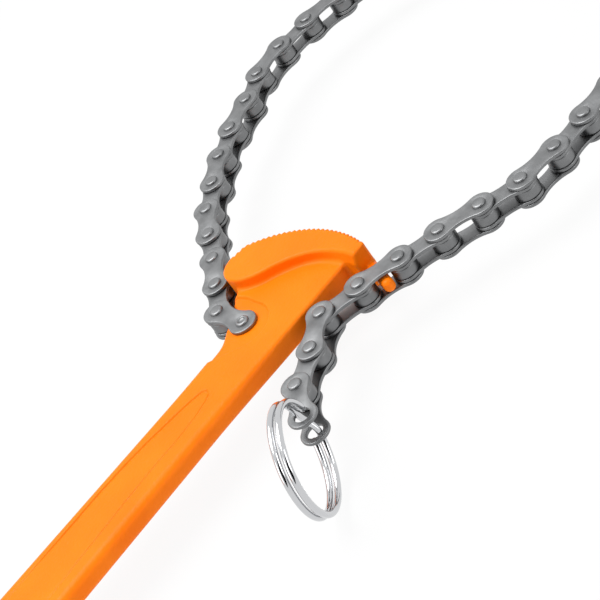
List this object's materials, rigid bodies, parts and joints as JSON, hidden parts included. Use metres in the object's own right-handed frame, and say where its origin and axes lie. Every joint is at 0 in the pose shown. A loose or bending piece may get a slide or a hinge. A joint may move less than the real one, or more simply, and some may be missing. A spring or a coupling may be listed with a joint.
{
  "type": "chain wrench",
  "caption": "Chain wrench: flat coated handle with a toothed crescent jaw, a roller chain looped from an anchor pin to a hook peg, and a split ring on the chain end.",
  "frame": {"origin": "centre of the hang hole in the handle, half way through the bar", "axes": "+X along the handle to the jaw, +Y to the side of the anchor pin, +Z along the pins of the chain"},
  "size_m": [0.3374, 0.161, 0.0312],
  "materials": {
    "coating": "satin",
    "chain_steel": "satin",
    "ring_plate": "polished"
  },
  "bodies": {
    "handle": {"handle": "coating"},
    "link_01": {"outer_link_01": "chain_steel", "anchor_pin": "chain_steel"},
    "link_02": {"inner_link_02": "chain_steel"},
    "link_03": {"outer_link_03": "chain_steel"},
    "link_04": {"inner_link_04": "chain_steel"},
    "link_05": {"outer_link_05": "chain_steel"},
    "link_06": {"inner_link_06": "chain_steel"},
    "link_07": {"outer_link_07": "chain_steel"},
    "link_08": {"inner_link_08": "chain_steel"},
    "link_09": {"outer_link_09": "chain_steel"},
    "link_10": {"inner_link_10": "chain_steel"},
    "link_11": {"outer_link_11": "chain_steel"},
    "link_12": {"inner_link_12": "chain_steel"},
    "link_13": {"outer_link_13": "chain_steel"},
    "link_14": {"inner_link_14": "chain_steel"},
    "link_15": {"outer_link_15": "chain_steel"},
    "link_16": {"inner_link_16": "chain_steel"},
    "link_17": {"outer_link_17": "chain_steel"},
    "link_18": {"inner_link_18": "chain_steel"},
    "link_19": {"outer_link_19": "chain_steel"},
    "link_20": {"inner_link_20": "chain_steel"},
    "link_21": {"outer_link_21": "chain_steel"},
    "link_22": {"inner_link_22": "chain_steel"},
    "link_23": {"outer_link_23": "chain_steel"},
    "link_24": {"inner_link_24": "chain_steel"},
    "link_25": {"outer_link_25": "chain_steel"},
    "link_26": {"inner_link_26": "chain_steel"},
    "link_27": {"outer_link_27": "chain_steel"},
    "link_28": {"inner_link_28": "chain_steel"},
    "link_29": {"outer_link_29": "chain_steel"},
    "link_30": {"inner_link_30": "chain_steel"},
    "link_31": {"outer_link_31": "chain_steel"},
    "link_32": {"inner_link_32": "chain_steel"},
    "link_33": {"outer_link_33": "chain_steel"},
    "link_34": {"inner_link_34": "chain_steel"},
    "link_35": {"outer_link_35": "chain_steel"},
    "link_36": {"inner_link_36": "chain_steel"},
    "link_37": {"outer_link_37": "chain_steel"},
    "link_38": {"inner_link_38": "chain_steel"},
    "link_39": {"outer_link_39": "chain_steel"},
    "ring": {"split_ring": "ring_plate"}
  },
  "joints": [
    {"name": "anchor_hinge", "type": "hinge", "parent": "handle", "child": "link_01", "pos_m": [0.152, 0.011, 0], "axis": [0, 0, 1], "range_deg": [0, 2]},
    {"name": "link_02_hinge", "type": "hinge", "parent": "link_01", "child": "link_02", "pos_m": [0.15233, 0.0237, 0], "axis": [0, 0, 1], "range_deg": [0, 2]},
    {"name": "link_03_hinge", "type": "hinge", "parent": "link_02", "child": "link_03", "pos_m": [0.16032, 0.03357, 0], "axis": [0, 0, 1], "range_deg": [0, 2]},
    {"name": "link_04_hinge", "type": "hinge", "parent": "link_03", "child": "link_04", "pos_m": [0.16797, 0.04371, 0], "axis": [0, 0, 1], "range_deg": [0, 2]},
    {"name": "link_05_hinge", "type": "hinge", "parent": "link_04", "child": "link_05", "pos_m": [0.17525, 0.05411, 0], "axis": [0, 0, 1], "range_deg": [-1.03, 0]},
    {"name": "link_06_hinge", "type": "hinge", "parent": "link_05", "child": "link_06", "pos_m": [0.18307, 0.06412, 0], "axis": [0, 0, 1], "range_deg": [-1.03, 0]},
    {"name": "link_07_hinge", "type": "hinge", "parent": "link_06", "child": "link_07", "pos_m": [0.19294, 0.07211, 0], "axis": [0, 0, 1], "range_deg": [-1.03, 0]},
    {"name": "link_08_hinge", "type": "hinge", "parent": "link_07", "child": "link_08", "pos_m": [0.20295, 0.07993, 0], "axis": [0, 0, 1], "range_deg": [-1.03, 0]},
    {"name": "link_09_hinge", "type": "hinge", "parent": "link_08", "child": "link_09", "pos_m": [0.21395, 0.08628, 0], "axis": [0, 0, 1], "range_deg": [-1.03, 0]},
    {"name": "link_10_hinge", "type": "hinge", "parent": "link_09", "child": "link_10", "pos_m": [0.2258, 0.09083, 0], "axis": [0, 0, 1], "range_deg": [-1.03, 0]},
    {"name": "link_11_hinge", "type": "hinge", "parent": "link_10", "child": "link_11", "pos_m": [0.23702, 0.09679, 0], "axis": [0, 0, 1], "range_deg": [-1.03, 0]},
    {"name": "link_12_hinge", "type": "hinge", "parent": "link_11", "child": "link_12", "pos_m": [0.24959, 0.09856, 0], "axis": [0, 0, 1], "range_deg": [-1.03, 0]},
    {"name": "link_13_hinge", "type": "hinge", "parent": "link_12", "child": "link_13", "pos_m": [0.26222, 0.09723, 0], "axis": [0, 0, 1], "range_deg": [-1.03, 0]},
    {"name": "link_14_hinge", "type": "hinge", "parent": "link_13", "child": "link_14", "pos_m": [0.27447, 0.09387, 0], "axis": [0, 0, 1], "range_deg": [-1.03, 0]},
    {"name": "link_15_hinge", "type": "hinge", "parent": "link_14", "child": "link_15", "pos_m": [0.28592, 0.08838, 0], "axis": [0, 0, 1], "range_deg": [0, 0.8596]},
    {"name": "link_16_hinge", "type": "hinge", "parent": "link_15", "child": "link_16", "pos_m": [0.29622, 0.08095, 0], "axis": [0, 0, 1], "range_deg": [0, 0.8596]},
    {"name": "link_17_hinge", "type": "hinge", "parent": "link_16", "child": "link_17", "pos_m": [0.30503, 0.0718, 0], "axis": [0, 0, 1], "range_deg": [0, 0.8596]},
    {"name": "link_18_hinge", "type": "hinge", "parent": "link_17", "child": "link_18", "pos_m": [0.31207, 0.06123, 0], "axis": [0, 0, 1], "range_deg": [0, 0.8596]},
    {"name": "link_19_hinge", "type": "hinge", "parent": "link_18", "child": "link_19", "pos_m": [0.31712, 0.04958, 0], "axis": [0, 0, 1], "range_deg": [0, 0.8596]},
    {"name": "link_20_hinge", "type": "hinge", "parent": "link_19", "child": "link_20", "pos_m": [0.32001, 0.03721, 0], "axis": [0, 0, 1], "range_deg": [0, 0.8596]},
    {"name": "link_21_hinge", "type": "hinge", "parent": "link_20", "child": "link_21", "pos_m": [0.32066, 0.02453, 0], "axis": [0, 0, 1], "range_deg": [0, 0.8596]},
    {"name": "link_22_hinge", "type": "hinge", "parent": "link_21", "child": "link_22", "pos_m": [0.31905, 0.01193, 0], "axis": [0, 0, 1], "range_deg": [0, 0.8596]},
    {"name": "link_23_hinge", "type": "hinge", "parent": "link_22", "child": "link_23", "pos_m": [0.31522, -0.00018, 0], "axis": [0, 0, 1], "range_deg": [0, 0.8596]},
    {"name": "link_24_hinge", "type": "hinge", "parent": "link_23", "child": "link_24", "pos_m": [0.3093, -0.01141, 0], "axis": [0, 0, 1], "range_deg": [0, 0.8596]},
    {"name": "link_25_hinge", "type": "hinge", "parent": "link_24", "child": "link_25", "pos_m": [0.30147, -0.02142, 0], "axis": [0, 0, 1], "range_deg": [0, 0.8596]},
    {"name": "link_26_hinge", "type": "hinge", "parent": "link_25", "child": "link_26", "pos_m": [0.29199, -0.02987, 0], "axis": [0, 0, 1], "range_deg": [0, 0.8596]},
    {"name": "link_27_hinge", "type": "hinge", "parent": "link_26", "child": "link_27", "pos_m": [0.28116, -0.0365, 0], "axis": [0, 0, 1], "range_deg": [-2.67, 0]},
    {"name": "link_28_hinge", "type": "hinge", "parent": "link_27", "child": "link_28", "pos_m": [0.26932, -0.0411, 0], "axis": [0, 0, 1], "range_deg": [-2.67, 0]},
    {"name": "link_29_hinge", "type": "hinge", "parent": "link_28", "child": "link_29", "pos_m": [0.25685, -0.04352, 0], "axis": [0, 0, 1], "range_deg": [-2.67, 0]},
    {"name": "link_30_hinge", "type": "hinge", "parent": "link_29", "child": "link_30", "pos_m": [0.24416, -0.04368, 0], "axis": [0, 0, 1], "range_deg": [0, 15]},
    {"name": "link_31_hinge", "type": "hinge", "parent": "link_30", "child": "link_31", "pos_m": [0.23146, -0.04324, 0], "axis": [0, 0, 1], "range_deg": [0, 15]},
    {"name": "link_32_hinge", "type": "hinge", "parent": "link_31", "child": "link_32", "pos_m": [0.21892, -0.04125, 0], "axis": [0, 0, 1], "range_deg": [0, 15]},
    {"name": "link_33_hinge", "type": "hinge", "parent": "link_32", "child": "link_33", "pos_m": [0.20792, -0.0349, 0], "axis": [0, 0, 1], "range_deg": [0, 15]},
    {"name": "link_34_hinge", "type": "hinge", "parent": "link_33", "child": "link_34", "pos_m": [0.19692, -0.02855, 0], "axis": [0, 0, 1], "range_deg": [0, 15]},
    {"name": "link_35_hinge", "type": "hinge", "parent": "link_34", "child": "link_35", "pos_m": [0.18551, -0.02298, 0], "axis": [0, 0, 1], "range_deg": [0, 10]},
    {"name": "link_36_hinge", "type": "hinge", "parent": "link_35", "child": "link_36", "pos_m": [0.17409, -0.01742, 0], "axis": [0, 0, 1], "range_deg": [0, 20]},
    {"name": "link_37_hinge", "type": "hinge", "parent": "link_36", "child": "link_37", "pos_m": [0.16224, -0.01287, 0], "axis": [0, 0, 1], "range_deg": [-8, 20]},
    {"name": "link_38_hinge", "type": "hinge", "parent": "link_37", "child": "link_38", "pos_m": [0.15158, -0.01978, 0], "axis": [0, 0, 1], "range_deg": [-8, 20]},
    {"name": "link_39_hinge", "type": "hinge", "parent": "link_38", "child": "link_39", "pos_m": [0.14017, -0.02535, 0], "axis": [0, 0, 1], "range_deg": [-8, 20]},
    {"name": "ring_swing", "type": "hinge", "parent": "link_39", "child": "ring", "pos_m": [0.13307, -0.03588, 0], "axis": [0, 0, 1], "range_deg": [-15, 60]}
  ],
  "couplings": [
    {"joint": "link_02_hinge", "follows": "anchor_hinge", "ratio": 1},
    {"joint": "link_03_hinge", "follows": "anchor_hinge", "ratio": 1},
    {"joint": "link_04_hinge", "follows": "anchor_hinge", "ratio": 1},
    {"joint": "link_05_hinge", "follows": "anchor_hinge", "ratio": -0.5152},
    {"joint": "link_06_hinge", "follows": "anchor_hinge", "ratio": -0.5152},
    {"joint": "link_07_hinge", "follows": "anchor_hinge", "ratio": -0.5152},
    {"joint": "link_08_hinge", "follows": "anchor_hinge", "ratio": -0.5152},
    {"joint": "link_09_hinge", "follows": "anchor_hinge", "ratio": -0.5152},
    {"joint": "link_10_hinge", "follows": "anchor_hinge", "ratio": -0.5152},
    {"joint": "link_11_hinge", "follows": "anchor_hinge", "ratio": -0.5152},
    {"joint": "link_12_hinge", "follows": "anchor_hinge", "ratio": -0.5152},
    {"joint": "link_13_hinge", "follows": "anchor_hinge", "ratio": -0.5152},
    {"joint": "link_14_hinge", "follows": "anchor_hinge", "ratio": -0.5152},
    {"joint": "link_15_hinge", "follows": "anchor_hinge", "ratio": 0.4298},
    {"joint": "link_16_hinge", "follows": "anchor_hinge", "ratio": 0.4298},
    {"joint": "link_17_hinge", "follows": "anchor_hinge", "ratio": 0.4298},
    {"joint": "link_18_hinge", "follows": "anchor_hinge", "ratio": 0.4298},
    {"joint": "link_19_hinge", "follows": "anchor_hinge", "ratio": 0.4298},
    {"joint": "link_20_hinge", "follows": "anchor_hinge", "ratio": 0.4298},
    {"joint": "link_21_hinge", "follows": "anchor_hinge", "ratio": 0.4298},
    {"joint": "link_22_hinge", "follows": "anchor_hinge", "ratio": 0.4298},
    {"joint": "link_23_hinge", "follows": "anchor_hinge", "ratio": 0.4298},
    {"joint": "link_24_hinge", "follows": "anchor_hinge", "ratio": 0.4298},
    {"joint": "link_25_hinge", "follows": "anchor_hinge", "ratio": 0.4298},
    {"joint": "link_26_hinge", "follows": "anchor_hinge", "ratio": 0.4298},
    {"joint": "link_27_hinge", "follows": "anchor_hinge", "ratio": -1.3352},
    {"joint": "link_28_hinge", "follows": "anchor_hinge", "ratio": -1.3352},
    {"joint": "link_29_hinge", "follows": "anchor_hinge", "ratio": -1.3352}
  ]
}
